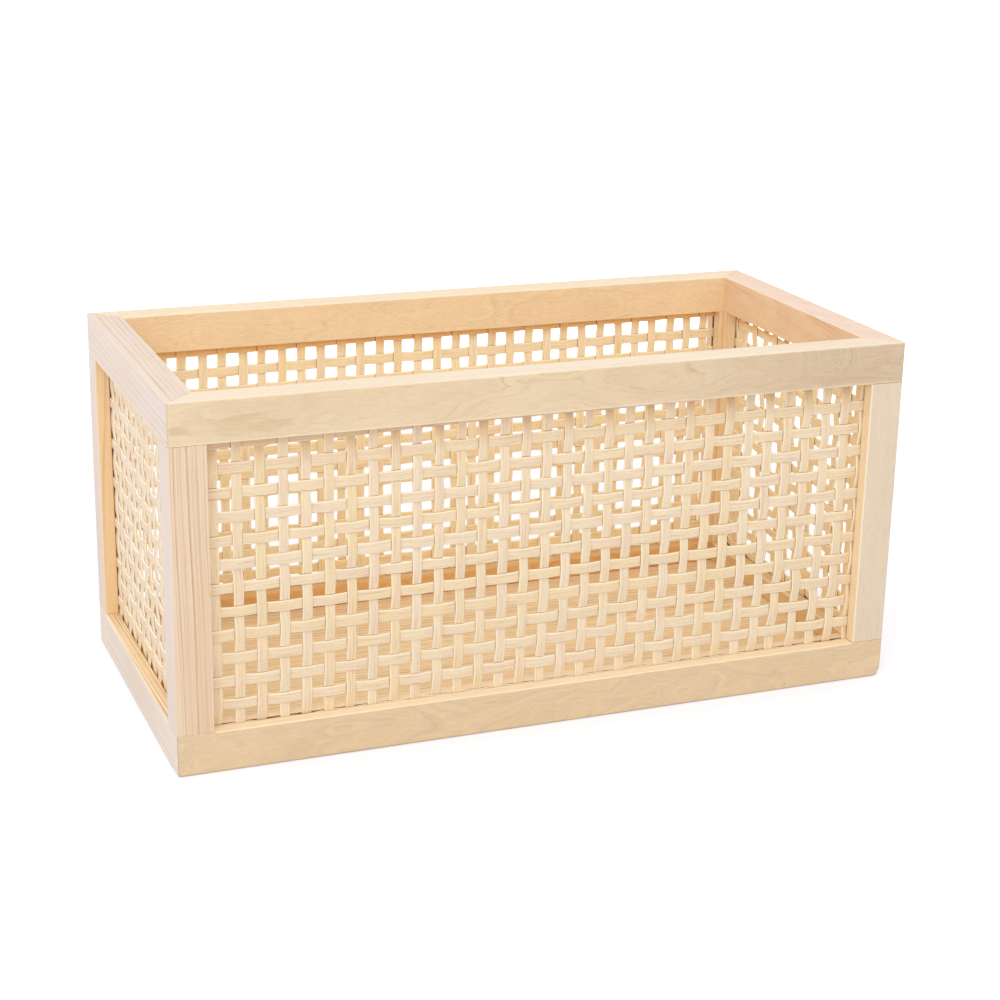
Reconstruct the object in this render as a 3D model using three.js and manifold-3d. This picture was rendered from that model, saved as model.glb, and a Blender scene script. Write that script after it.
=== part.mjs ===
// A storage basket of wood and cane: four mitred wooden frames stand round a thin floor board,
// and each frame holds a woven cane sheet in a groove at the middle of its thickness.
// Millimetres, +Z up. The origin is at the middle of the underside, +X runs along the length,
// and the front is at -Y.

import * as THREE from 'three';
import { mergeVertices } from 'three/addons/utils/BufferGeometryUtils.js';
import Module from 'manifold-3d';

const wasm = await Module();
wasm.setup();

// Overall size, over the outer faces of the frames
const basketLength = 334;
const basketWidth = 162;
const basketHeight = 160;

// Frame stock
const frameThickness = 14;
const railHeight = 18;
const stileWidth = 16;
const edgeRadius = 1.2; // softened long edges
const cornerRadius = 1.6; // upright edges at the four corners of the box
const mitreGap = 0.3; // glue line between two mitred ends

// Cane sheet: the warp is the closer set of strips, the weft the wider one
const caneThickness = 0.8;
const caneLayerGap = 0.3; // between the upright and the crossing strips
const warpPitch = 9.65;
const warpWidth = 4;
const weftPitch = 10.3;
const weftWidth = 4.5;
const caneTuck = 4; // how far the sheet reaches into the frame
const tuckedBand = 3; // the part of that margin where the strips are bound together
const grooveSideClearance = 0.55;
const grooveEndClearance = 0.5;

// Floor board
const floorThickness = 4;
const floorUnderside = 4; // height of the board's underside above the ground
const floorTuck = 5;
const floorTopClearance = 0.3;
const floorEndClearance = 0.5;

// Dowels that join the stiles to the rails
const dowelRadius = 2;
const dowelLength = 16;
const dowelChamfer = 0.5;
const dowelClearance = 0.15;
const dowelEndClearance = 0.5;
const dowelFromCorner = 8;
const dowelFromFace = 3.8;

// What follows from the sizes above
const stileLength = basketHeight - 2 * railHeight;
const sheetThickness = 2 * caneThickness + caneLayerGap;
const grooveWidth = sheetThickness + 2 * grooveSideClearance;
const grooveDepth = caneTuck + grooveEndClearance;
const grooveMiddle = frameThickness / 2;

// Small counts and margins of the shapes
const arcSteps = 3; // facets in a quarter circle of a softened edge
const rodSteps = 8; // facets in a half circle of a dowel or its hole
const cutMargin = 1; // how far a cutting tool stands out of what it cuts

// Bare, sanded wood and peeled cane
const railFinish = { color: 0xead2ae, roughness: 0.6, metalness: 0 };
const stileFinish = { color: 0xe8cfaf, roughness: 0.6, metalness: 0 };
const floorFinish = { color: 0xe2bf8c, roughness: 0.7, metalness: 0 };
const dowelFinish = { color: 0xd8b98c, roughness: 0.7, metalness: 0 };
const caneFinish = { color: 0xf0ddb6, roughness: 0.5, metalness: 0 };

// A closed geometry as a solid that can be cut and joined
function solidOf( geometry ) {

	geometry.deleteAttribute( 'normal' );
	geometry.deleteAttribute( 'uv' );
	const merged = mergeVertices( geometry );
	return new wasm.Manifold( new wasm.Mesh( {
		numProp: 3,
		vertProperties: merged.getAttribute( 'position' ).array,
		triVerts: new Uint32Array( merged.getIndex().array )
	} ) );

}

// A solid as a named piece with its finish
function pieceOf( name, solid, finish ) {

	const faces = solid.getMesh();
	const geometry = new THREE.BufferGeometry();
	geometry.setAttribute( 'position', new THREE.BufferAttribute( faces.vertProperties, 3 ) );
	geometry.setIndex( new THREE.BufferAttribute( faces.triVerts, 1 ) );
	geometry.computeVertexNormals();
	const piece = new THREE.Mesh( geometry, new THREE.MeshStandardMaterial( finish ) );
	piece.name = name;
	return piece;

}

// A box between two corners. Boxes that name the same plane share it to the last digit.
function block( low, high ) {

	const geometry = new THREE.BoxGeometry( 1, 1, 1 );
	const corners = geometry.getAttribute( 'position' );
	for ( let i = 0; i < corners.count; i ++ ) {

		low.forEach( ( value, axis ) => {

			const side = corners.getComponent( i, axis ) < 0 ? value : high[ axis ];
			corners.setComponent( i, axis, side );

		} );

	}

	return solidOf( geometry );

}

function roundedRectangle( left, bottom, right, top, radius ) {

	const shape = new THREE.Shape();
	shape.absarc( right - radius, bottom + radius, radius, - Math.PI / 2, 0 );
	shape.absarc( right - radius, top - radius, radius, 0, Math.PI / 2 );
	shape.absarc( left + radius, top - radius, radius, Math.PI / 2, Math.PI );
	shape.absarc( left + radius, bottom + radius, radius, Math.PI, 1.5 * Math.PI );
	return shape;

}

// An outline in plan, carried up from one height to another
function raise( shape, bottom, top ) {

	const geometry = new THREE.ExtrudeGeometry( shape, {
		depth: top - bottom,
		bevelEnabled: false,
		curveSegments: arcSteps
	} );
	geometry.translate( 0, 0, bottom );
	return solidOf( geometry );

}

// A section across the stock (depth, height), carried along the side from its left to its right end
function lengthwise( shape, length ) {

	const geometry = new THREE.ExtrudeGeometry( shape, {
		depth: length,
		bevelEnabled: false,
		curveSegments: arcSteps
	} );
	geometry.translate( 0, 0, - length / 2 );
	const depthAxis = new THREE.Vector3( 0, 1, 0 );
	const heightAxis = new THREE.Vector3( 0, 0, 1 );
	const lengthAxis = new THREE.Vector3( 1, 0, 0 );
	geometry.applyMatrix4( new THREE.Matrix4().makeBasis( depthAxis, heightAxis, lengthAxis ) );
	return solidOf( geometry );

}

// An upright round rod between two heights, with chamfered ends where the chamfer isn't 0
function rod( x, y, radius, bottom, top, chamfer ) {

	const circle = new THREE.Shape();
	circle.absarc( 0, 0, radius, 0, 2 * Math.PI );
	const geometry = new THREE.ExtrudeGeometry( circle, {
		depth: top - bottom - 2 * chamfer,
		bevelEnabled: chamfer > 0,
		bevelThickness: chamfer,
		bevelSize: chamfer,
		bevelOffset: - chamfer,
		bevelSegments: 1,
		curveSegments: rodSteps
	} );
	geometry.translate( x, y, bottom + chamfer );
	return solidOf( geometry );

}

// Each side is made in its own frame: X to the right as seen from outside, Y inwards from the outer
// face, Z up, with its origin at the middle of the outer face on the ground.

// The plan of a side: mitred at both ends, with the box's rounded corner in front of each mitre
function sidePlan( length ) {

	const end = length / 2;
	const inset = mitreGap / Math.SQRT2;
	const slip = Math.asin( mitreGap / 2 / cornerRadius );
	const shape = new THREE.Shape();
	shape.absarc( - end + cornerRadius, cornerRadius, cornerRadius, 1.25 * Math.PI + slip, 1.5 * Math.PI );
	shape.absarc( end - cornerRadius, cornerRadius, cornerRadius, 1.5 * Math.PI, 1.75 * Math.PI - slip );
	shape.lineTo( end - frameThickness - inset, frameThickness );
	shape.lineTo( - end + frameThickness + inset, frameThickness );
	return shape;

}

// The groove that takes the edge of the cane sheet, as a tool between two corners in the sheet's plane
function caneGroove( left, bottom, right, top ) {

	return block(
		[ left, grooveMiddle - grooveWidth / 2, bottom ],
		[ right, grooveMiddle + grooveWidth / 2, top ]
	);

}

// The two holes for the dowels of one joint level, between two heights
function dowelHoles( length, bottom, top ) {

	const x = length / 2 - dowelFromCorner;
	const radius = dowelRadius + dowelClearance;
	const left = rod( - x, dowelFromFace, radius, bottom, top, 0 );
	return left.add( rod( x, dowelFromFace, radius, bottom, top, 0 ) );

}

function railBlank( length, bottom ) {

	const section = roundedRectangle( 0, bottom, frameThickness, bottom + railHeight, edgeRadius );
	return lengthwise( section, length ).intersect( raise( sidePlan( length ), bottom, bottom + railHeight ) );

}

function topRail( length ) {

	const underside = basketHeight - railHeight;
	const grooveReach = length / 2 - stileWidth + grooveDepth;
	return railBlank( length, underside )
		.subtract( caneGroove( - grooveReach, underside - cutMargin, grooveReach, underside + grooveDepth ) )
		.subtract( dowelHoles( length, underside - cutMargin, underside + dowelLength / 2 + dowelEndClearance ) );

}

function bottomRail( length ) {

	const grooveReach = length / 2 - stileWidth + grooveDepth;
	const floorGroove = block(
		[ - length, frameThickness - floorTuck - floorEndClearance, floorUnderside ],
		[ length, frameThickness + cutMargin, floorUnderside + floorThickness + floorTopClearance ]
	);
	return railBlank( length, 0 )
		.subtract( floorGroove )
		.subtract( caneGroove( - grooveReach, railHeight - grooveDepth, grooveReach, railHeight + cutMargin ) )
		.subtract( dowelHoles( length, railHeight - dowelLength / 2 - dowelEndClearance, railHeight + cutMargin ) );

}

// A stile at the left (-1) or right (1) end of a side
function stile( length, end ) {

	const corner = end * length / 2;
	const inner = corner - end * stileWidth;
	const beyond = corner + end * stileWidth;
	const outline = roundedRectangle(
		Math.min( inner, beyond ), 0, Math.max( inner, beyond ), frameThickness, edgeRadius
	);
	const bottom = railHeight;
	const top = railHeight + stileLength;
	const grooveSides = [ inner + end * grooveDepth, inner - end * cutMargin ].sort( ( a, b ) => a - b );
	const holeDepth = dowelLength / 2 + dowelEndClearance;
	return raise( outline, bottom, top )
		.intersect( raise( sidePlan( length ), bottom, top ) )
		.subtract( caneGroove( grooveSides[ 0 ], bottom - cutMargin, grooveSides[ 1 ], top + cutMargin ) )
		.subtract( dowelHoles( length, bottom - cutMargin, bottom + holeDepth ) )
		.subtract( dowelHoles( length, top - holeDepth, top + cutMargin ) );

}

// The centre lines of the strips across an opening, counted from the opening's own edge
function stripCentres( first, pitch, width, opening ) {

	const last = opening + caneTuck - width / 2;
	const count = Math.floor( ( last - first ) / pitch ) + 1;
	return Array.from( { length: count }, ( _, i ) => first + i * pitch );

}

// A row of parallel strips, tied at both ends by the tucked-in band. The strips run up the side, or
// with turned set, along it. nearFace is the depth of the layer's outer face.
function stripLayer( centres, width, start, end, turned, nearFace ) {

	const corner = ( across, along, depth ) => turned ? [ along, depth, across ] : [ across, depth, along ];
	const piece = ( across0, along0, across1, along1 ) => block(
		corner( across0, along0, nearFace ),
		corner( across1, along1, nearFace + caneThickness )
	);

	const half = width / 2;
	const low = start - caneTuck;
	const high = end + caneTuck;
	const left = centres[ 0 ] - half;
	const right = centres[ centres.length - 1 ] + half;
	const strips = centres.map( ( centre ) => piece( centre - half, low, centre + half, high ) );
	const bands = [
		piece( left, low, right, low + tuckedBand ),
		piece( left, high - tuckedBand, right, high )
	];
	return [ ...bands, ...strips ].reduce( ( layer, part ) => layer.add( part ) );

}

// One side of the basket: its two rails, two stiles, four dowels and the cane in its frame
function makeSide( side ) {

	const { name, length } = side;
	const group = new THREE.Group();
	group.add( pieceOf( `${ name }_top_rail`, topRail( length ), railFinish ) );
	group.add( pieceOf( `${ name }_bottom_rail`, bottomRail( length ), railFinish ) );

	[ - 1, 1 ].forEach( ( end, i ) => {

		const stileName = `${ name }_${ side.ends[ i ] }_stile`;
		group.add( pieceOf( stileName, stile( length, end ), stileFinish ) );
		const x = end * ( length / 2 - dowelFromCorner );
		const joints = { bottom: railHeight, top: railHeight + stileLength };
		for ( const [ level, height ] of Object.entries( joints ) ) {

			const bottom = height - dowelLength / 2;
			const dowel = rod( x, dowelFromFace, dowelRadius, bottom, bottom + dowelLength, dowelChamfer );
			group.add( pieceOf( `${ stileName }_${ level }_dowel`, dowel, dowelFinish ) );

		}

	} );

	const opening = length - 2 * stileWidth;
	const { upright, crosser } = side;
	const across = stripCentres( side.firstUpright, upright.pitch, upright.width, opening );
	const uprights = stripLayer(
		across.map( ( centre ) => centre - opening / 2 ), upright.width,
		railHeight, railHeight + stileLength, false, grooveMiddle - sheetThickness / 2
	);
	group.add( pieceOf( `${ name }_cane_uprights`, uprights, caneFinish ) );

	const above = stripCentres( side.firstCrosser, crosser.pitch, crosser.width, stileLength );
	const crossers = stripLayer(
		above.map( ( centre ) => centre + railHeight ), crosser.width,
		- opening / 2, opening / 2, true, grooveMiddle + caneLayerGap / 2
	);
	group.add( pieceOf( `${ name }_cane_crossers`, crossers, caneFinish ) );

	group.rotation.z = side.turn;
	group.position.set( ...side.middle, 0 );
	return group;

}

const warp = { pitch: warpPitch, width: warpWidth };
const weft = { pitch: weftPitch, width: weftWidth };
const quarterTurn = Math.PI / 2;

// The sheets of the long sides stand with the warp upright, those of the ends with the weft upright.
// The first strips are measured from the left stile and the bottom rail to a strip's centre line.
const sides = [
	{
		name: 'front', ends: [ 'left', 'right' ],
		length: basketLength, turn: 0, middle: [ 0, - basketWidth / 2 ],
		upright: warp, crosser: weft, firstUpright: 3.6, firstCrosser: - 1.3
	},
	{
		name: 'right', ends: [ 'front', 'back' ],
		length: basketWidth, turn: quarterTurn, middle: [ basketLength / 2, 0 ],
		upright: weft, crosser: warp, firstUpright: 7.1, firstCrosser: 2
	},
	{
		name: 'back', ends: [ 'right', 'left' ],
		length: basketLength, turn: 2 * quarterTurn, middle: [ 0, basketWidth / 2 ],
		upright: warp, crosser: weft, firstUpright: 5.6, firstCrosser: - 1.6
	},
	{
		name: 'left', ends: [ 'back', 'front' ],
		length: basketWidth, turn: - quarterTurn, middle: [ - basketLength / 2, 0 ],
		upright: weft, crosser: warp, firstUpright: 2.7, firstCrosser: 6.8
	}
];

const floorHalfLength = basketLength / 2 - frameThickness + floorTuck;
const floorHalfWidth = basketWidth / 2 - frameThickness + floorTuck;
const floorBoard = block(
	[ - floorHalfLength, - floorHalfWidth, floorUnderside ],
	[ floorHalfLength, floorHalfWidth, floorUnderside + floorThickness ]
);

const basket = new THREE.Group();
sides.forEach( ( side ) => basket.add( makeSide( side ) ) );
basket.add( pieceOf( 'floor_board', floorBoard, floorFinish ) );

export default basket;
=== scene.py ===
import math

import bmesh
import bpy
import numpy as np
from mathutils import Euler, Matrix, Vector


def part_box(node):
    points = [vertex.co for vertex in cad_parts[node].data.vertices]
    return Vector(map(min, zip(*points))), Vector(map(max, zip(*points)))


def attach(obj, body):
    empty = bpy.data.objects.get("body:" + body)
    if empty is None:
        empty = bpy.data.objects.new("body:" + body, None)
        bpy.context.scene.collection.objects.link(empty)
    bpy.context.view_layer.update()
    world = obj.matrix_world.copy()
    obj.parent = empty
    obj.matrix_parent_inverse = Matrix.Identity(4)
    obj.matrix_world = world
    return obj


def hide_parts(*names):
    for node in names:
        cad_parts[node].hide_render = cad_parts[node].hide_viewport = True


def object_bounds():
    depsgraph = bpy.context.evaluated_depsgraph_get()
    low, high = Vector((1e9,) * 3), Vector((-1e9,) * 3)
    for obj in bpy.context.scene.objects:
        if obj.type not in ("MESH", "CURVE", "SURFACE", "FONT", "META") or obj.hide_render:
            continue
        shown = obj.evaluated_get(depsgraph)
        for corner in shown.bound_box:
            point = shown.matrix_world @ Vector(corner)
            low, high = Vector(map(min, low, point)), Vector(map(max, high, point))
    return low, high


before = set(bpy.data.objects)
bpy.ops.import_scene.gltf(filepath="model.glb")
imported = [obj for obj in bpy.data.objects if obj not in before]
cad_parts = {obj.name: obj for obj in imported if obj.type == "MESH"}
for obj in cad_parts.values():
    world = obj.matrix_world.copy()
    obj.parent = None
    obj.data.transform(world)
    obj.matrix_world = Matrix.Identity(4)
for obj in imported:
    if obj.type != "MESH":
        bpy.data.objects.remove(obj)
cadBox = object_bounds()

# A storage basket of wood and cane: four mitred frames round a thin floor board, each frame filled
# with open woven cane. Metres, +Z up, the front at -Y.

mm = 0.001

# What the CAD frame says of the stock, in metres
boxLow, boxHigh = cadBox
basketLength, basketWidth, basketHeight = boxHigh - boxLow
railLow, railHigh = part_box("front_top_rail")
frameThickness = railHigh.y - railLow.y
railHeight = railHigh.z - railLow.z
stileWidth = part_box("front_left_stile")[1].x - boxLow.x
floorLow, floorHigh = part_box("floor_board")
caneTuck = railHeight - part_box("front_cane_uprights")[0].z

# Each side has a frame of its own: X to the right as seen from outside, Y inwards from the outer
# face, Z up. Its origin is at the middle of that face.
sides = {
    "front": {"ends": ("left", "right"), "length": basketLength, "turns": 0, "middle": (0, boxLow.y)},
    "right": {"ends": ("front", "back"), "length": basketWidth, "turns": 1, "middle": (boxHigh.x, 0)},
    "back": {"ends": ("right", "left"), "length": basketLength, "turns": 2, "middle": (0, boxHigh.y)},
    "left": {"ends": ("back", "front"), "length": basketWidth, "turns": 3, "middle": (boxLow.x, 0)},
}


# A rotation by angles about X, Y and Z, in degrees
def turnBy(*angles):
    return Euler([math.radians(angle) for angle in angles]).to_matrix()


# Points of a side's own frame in the basket's frame: a turn about Z by quarter turns, then a shift
def placeOnSide(points, side):
    c = (1, 0, -1, 0)[side["turns"]]
    s = (0, 1, 0, -1)[side["turns"]]
    x, y, z = points[..., 0], points[..., 1], points[..., 2]
    return np.stack((c * x - s * y + side["middle"][0], s * x + c * y + side["middle"][1], z), axis=-1)


# A share from 0 to 1, eased at both ends: 3 s^2 - 2 s^3
def smooth(share):
    return share * share * (3 - 2 * share)


# Rings of points, one after another, joined by quads with a flat cap at each end. rings is an
# array of tubes, stations, points and coordinates.
def tubeMesh(name, rings):
    tubes, stations, around = rings.shape[:3]
    index = np.arange(tubes * stations * around).reshape(tubes, stations, around)
    here = index[:, :-1]
    beyond = index[:, 1:]
    quads = np.stack((here, np.roll(here, -1, axis=2), np.roll(beyond, -1, axis=2), beyond), axis=-1)
    caps = index[:, 0, ::-1].tolist() + index[:, -1].tolist()
    mesh = bpy.data.meshes.new(name)
    mesh.from_pydata(rings.reshape(-1, 3).tolist(), [], quads.reshape(-1, 4).tolist() + caps)
    return mesh


# A closed mesh from rings of points, with UVs and marks kept on it for its material, doubles within
# a reach merged and faces turned outwards
def closedMesh(name, rings, marks, uv=None, mergeReach=0):
    mesh = tubeMesh(name, rings)
    if uv is not None:
        corner = np.empty(len(mesh.loops), np.int32)
        mesh.loops.foreach_get("vertex_index", corner)
        layer = mesh.uv_layers.new(name="UVMap")
        layer.data.foreach_set("uv", uv.reshape(-1, 2)[corner].astype(np.float32).ravel())
    for mark, values in marks.items():
        values = np.broadcast_to(values, rings.shape[:3]).astype(np.float32)
        mesh.attributes.new(mark, "FLOAT", "POINT").data.foreach_set("value", values.ravel())
    work = bmesh.new()
    work.from_mesh(mesh)
    if mergeReach:
        bmesh.ops.remove_doubles(work, verts=work.verts, dist=mergeReach)
        bmesh.ops.dissolve_degenerate(work, edges=work.edges, dist=mergeReach)
    bmesh.ops.recalc_face_normals(work, faces=work.faces)
    work.to_mesh(mesh)
    work.free()
    mesh.shade_smooth()
    return mesh


# A new object in the scene
def addObject(name, data):
    made = bpy.data.objects.new(name, data)
    bpy.context.scene.collection.objects.link(made)
    return made


# A finished piece: it rides on the basket, stands for its CAD nodes and takes a slot's finish
def addPiece(name, mesh, material, nodes):
    piece = addObject(name, mesh)
    mesh.materials.append(material)
    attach(piece, "root")
    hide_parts(*nodes)


# A CAD node that keeps its shape and takes a better material
def dressNode(node, material):
    node.data.materials.clear()
    node.data.materials.append(material)


# A new shader node. Inputs are named or numbered; a socket is linked and anything else is set.
def addNode(tree, kind, inputs=None, **settings):
    node = tree.nodes.new("ShaderNode" + kind)
    for key, value in settings.items():
        setattr(node, key, value)
    for key, value in (inputs or {}).items():
        if isinstance(value, bpy.types.NodeSocket):
            tree.links.new(value, node.inputs[key])
        else:
            node.inputs[key].default_value = value
    return node


# One operation on numbers
def calc(tree, operation, *values):
    return addNode(tree, "Math", dict(enumerate(values)), operation=operation).outputs[0]


# A number times another, plus a third
def times(tree, a, b, plus=0.0):
    return calc(tree, "MULTIPLY_ADD", a, b, plus)


# A vector times another, or less another
def vectorCalc(tree, operation, a, b):
    return addNode(tree, "VectorMath", {0: a, 1: b}, operation=operation).outputs[0]


# A vector's length
def lengthOf(tree, vector):
    return addNode(tree, "VectorMath", {0: vector}, operation="LENGTH").outputs["Value"]


# Noise from 0 to 1 at a vector whose axes are stretched by the three scales
def stretchedNoise(tree, vector, scales, detail=2.0, rough=0.5):
    scaled = vectorCalc(tree, "MULTIPLY", vector, scales)
    inputs = {"Vector": scaled, "Scale": 1.0, "Detail": detail, "Roughness": rough}
    return addNode(tree, "TexNoise", inputs).outputs["Fac"]


# A value eased from 0 to 1 as it goes from low to high
def eased(tree, value, low, high):
    inputs = {"Value": value, "From Min": low, "From Max": high}
    node = addNode(tree, "MapRange", inputs, interpolation_type="SMOOTHSTEP")
    return node.outputs["Result"]


# Two colours mixed by a factor. A colour is a socket or three screen values.
def mixColour(tree, factor, first, second, blend="MIX"):
    first, second = (tone(*c) if isinstance(c, tuple) else c for c in (first, second))
    inputs = {0: factor, 6: first, 7: second}
    return addNode(tree, "Mix", inputs, data_type="RGBA", blend_type=blend).outputs[2]


# A colour times a grey: 1 plus a strength times what a value is off one half
def shaded(tree, colour, value, strength):
    grey = times(tree, calc(tree, "SUBTRACT", value, 0.5), strength, 1.0)
    grey = addNode(tree, "CombineColor", {0: grey, 1: grey, 2: grey}).outputs[0]
    return mixColour(tree, 1.0, colour, grey, "MULTIPLY")


# A screen colour, 0 to 255, as the linear colour that a socket takes
def tone(red, green, blue):
    parts = np.array((red, green, blue)) / 255
    linear = np.where(parts <= 0.04045, parts / 12.92, ((parts + 0.055) / 1.055) ** 2.4)
    return (*linear.tolist(), 1.0)


# The node tree of a new material or world, emptied
def emptyTree(owner):
    owner.use_nodes = True
    owner.node_tree.nodes.clear()
    return owner.node_tree


# A new material and its tree
def newMaterial(name):
    material = bpy.data.materials.new(name)
    return material, emptyTree(material)


# The shader that ends a material, with bump from a height
def finishMaterial(tree, colour, roughness, height, surface):
    bump = addNode(tree, "Bump", {
        "Height": height, "Strength": surface["bumpStrength"], "Distance": surface["bumpDepth"] * mm
    }).outputs[0]
    shader = addNode(tree, "BsdfPrincipled", {
        "Base Color": colour, "Roughness": roughness, "Normal": bump,
        "Specular IOR Level": surface["specular"]
    })
    addNode(tree, "OutputMaterial", {0: shader.outputs[0]})


# Bare wood. The figure is cut from year rings round a pith line that runs nearly along the
# grain: the distance to that line, bent by noise, over the ring spacing, gives rings that darken
# towards their late wood. The meshes mark their soft edges (arris), which take a painted
# highlight, the faces that look into the basket or the opening (warm), which take painted bounce
# light, the rim, which takes painted top light, the groove walls (groove), which take painted
# shade, and the edges of the joints (seam), dark joint lines that are painted contact shade along
# a bottom rail's foot. Tones over 255 lighten. A range says where a noise begins to count and
# where it counts in full, and a scale is how many times noise repeats in a millimetre, along the
# grain first.

woodLook = {
    "bumpStrength": 0.3, "bumpDepth": 0.12, "specular": 0.5, "roughness": 0.5, "roughSpread": 0.16,
    "arrisHighlightTone": (255, 243, 222), "coolArrisHighlight": 0.35, "seamAndFootShadeTone": (150, 104, 68),
    "endTone": (235, 232, 234), "endReach": (-20, 175), "ringEnd": 0.94, "yearScale": 0.7,
    "breakRange": (0.38, 0.6), "poreRange": (0.58, 0.7), "streakAlong": 0.02, "swellNarrow": 1.6,
    "cloudScale": (0.012, 0.05, 0.05), "cloudRange": (0.35, 0.7), "fleckScale": (0.35, 1.6, 1.6),
    "lateHeight": 0.5,
}

grainTurns = {"x": (0, 0, 0), "y": (0, 0, -90), "z": (0, 90, 0)}


# The mapping from the basket's frame to the log's: millimetres, grain along X, pith on X itself
def logMapping(tree, centre, log):
    rotation = turnBy(0, *log["tilt"]) @ turnBy(*grainTurns[log["grain"]])
    shift = Vector((log["start"], *log["pith"])) - rotation @ (Vector(centre) / mm)
    coords = addNode(tree, "TexCoord").outputs["Object"]
    return addNode(tree, "Mapping", {
        "Vector": coords, "Location": shift, "Rotation": rotation.to_euler(), "Scale": (1 / mm,) * 3
    }).outputs[0]


# A mesh's own mark at a point
def markOf(tree, name):
    return addNode(tree, "Attribute", attribute_name=name).outputs["Fac"]


# How dark the late wood lies at each point, 0 to 1, and the fine lines and pores that follow the
# rings: noise over the place along the grain and the bent distance to the pith. Last comes the
# place along the grain. Where a log has a swell, its rings rise over an oval.
def woodFigure(tree, place, log):
    slowBend = stretchedNoise(tree, place, log["slowScale"])
    quickBend = stretchedNoise(tree, place, log["quickScale"], detail=3)
    radius = lengthOf(tree, vectorCalc(tree, "MULTIPLY", place, (0, 1, 1)))
    if log["swellHeight"]:
        reach = vectorCalc(tree, "SUBTRACT", place, (log["start"] + log["swellAt"], 0, 0))
        size = log["swellSize"]
        reach = vectorCalc(tree, "MULTIPLY", reach, (1 / size, 0, woodLook["swellNarrow"] / size))
        swell = eased(tree, lengthOf(tree, reach), 1.0, 0.0)
        radius = times(tree, swell, log["swellHeight"], radius)
    radius = times(tree, slowBend, log["slowBend"], radius)
    radius = times(tree, quickBend, log["quickBend"], radius)
    rings = calc(tree, "DIVIDE", radius, log["spacing"])
    yearNoise = addNode(tree, "TexNoise", {
        "W": rings, "Scale": woodLook["yearScale"], "Detail": 1.0
    }, noise_dimensions="1D").outputs["Fac"]
    rings = times(tree, yearNoise, log["yearSpread"], rings)
    season = calc(tree, "FRACT", rings)
    rise = eased(tree, season, log["lateStart"], log["lateFrom"])
    fall = eased(tree, season, 1.0, woodLook["ringEnd"])
    late = times(tree, rise, fall)
    year = calc(tree, "FLOOR", rings)
    strength = addNode(tree, "TexWhiteNoise", {"W": year}, noise_dimensions="1D").outputs[0]
    strength = times(tree, strength, log["yearChange"], 1 - log["yearChange"])
    late = times(tree, late, strength)
    breaks = stretchedNoise(tree, place, log["breakScale"], detail=3)
    breaks = eased(tree, breaks, *woodLook["breakRange"])
    breaks = times(tree, breaks, log["breaks"], 1 - log["breaks"])
    parts = addNode(tree, "SeparateXYZ", {0: place}).outputs
    following = addNode(tree, "CombineXYZ", {0: parts[0], 1: radius, 2: parts[2]}).outputs[0]
    streakScale = (woodLook["streakAlong"], log["streakScale"], 0)
    streaks = stretchedNoise(tree, following, streakScale, detail=4, rough=0.65)
    pores = stretchedNoise(tree, following, log["poreScale"])
    pores = eased(tree, pores, *woodLook["poreRange"])
    return times(tree, late, breaks), streaks, pores, parts[0]


# The finish of one log: its figure, clouds, streaks, pores and flecks, then the painted light and
# shade and the joint lines of the marked places
def woodMaterial(name, centre, log):
    material, tree = newMaterial(name)
    place = logMapping(tree, centre, log)
    warm = markOf(tree, "warm")
    rim = markOf(tree, "rim")
    contrast = times(tree, warm, log["warmLines"] * log["contrast"], log["contrast"])
    contrast = times(tree, rim, log["rimLines"] * log["contrast"], contrast)
    late, streaks, pores, alongGrain = woodFigure(tree, place, log)
    late = times(tree, late, contrast)
    colour = mixColour(tree, late, log["early"], log["late"])
    cloud = stretchedNoise(tree, place, woodLook["cloudScale"])
    cloud = eased(tree, cloud, *woodLook["cloudRange"])
    colour = mixColour(tree, times(tree, cloud, log["cloud"]), colour, log["tint"])
    colour = shaded(tree, colour, streaks, log["streaks"])
    colour = mixColour(tree, times(tree, pores, log["pores"]), colour, log["late"])
    flecks = stretchedNoise(tree, place, woodLook["fleckScale"], detail=3, rough=0.6)
    colour = shaded(tree, colour, flecks, log["flecks"])
    darker = eased(tree, alongGrain, *(log["start"] + reach for reach in woodLook["endReach"]))
    darker = times(tree, darker, log["darkEnd"])
    darker = times(tree, darker, calc(tree, "SUBTRACT", 1.0, rim))
    colour = mixColour(tree, darker, colour, woodLook["endTone"], "MULTIPLY")
    # Painted warm bounce light on the faces that look into the basket or the opening
    colour = mixColour(tree, warm, colour, log["warmLightTone"], "MULTIPLY")
    # Painted top light, paler and cooler, on the top face of a top rail
    colour = mixColour(tree, rim, colour, log["rimLightTone"], "MULTIPLY")
    # A painted highlight along the soft edges, fullest on the faces that look into the basket or the
    # opening
    coolArrisHighlight = woodLook["coolArrisHighlight"]
    share = times(tree, warm, 1 - coolArrisHighlight, coolArrisHighlight)
    share = times(tree, share, markOf(tree, "arris"))
    share = times(tree, share, log["arrisHighlightShare"])
    colour = mixColour(tree, share, colour, woodLook["arrisHighlightTone"])
    # Dark joint lines at the mitres and stile ends, and painted contact shade along a bottom rail's
    # foot
    seam = times(tree, markOf(tree, "seam"), log["seamShare"])
    colour = mixColour(tree, seam, colour, woodLook["seamAndFootShadeTone"])
    # Painted shade in the groove and in a thin line along its mouth
    colour = mixColour(tree, markOf(tree, "groove"), colour, log["grooveShadeTone"])

    height = times(tree, late, woodLook["lateHeight"], streaks)
    roughness = times(tree, streaks, woodLook["roughSpread"], woodLook["roughness"])
    roughness = calc(tree, "MAXIMUM", roughness, markOf(tree, "groove"))
    finishMaterial(tree, colour, roughness, height, woodLook)
    return material


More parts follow.
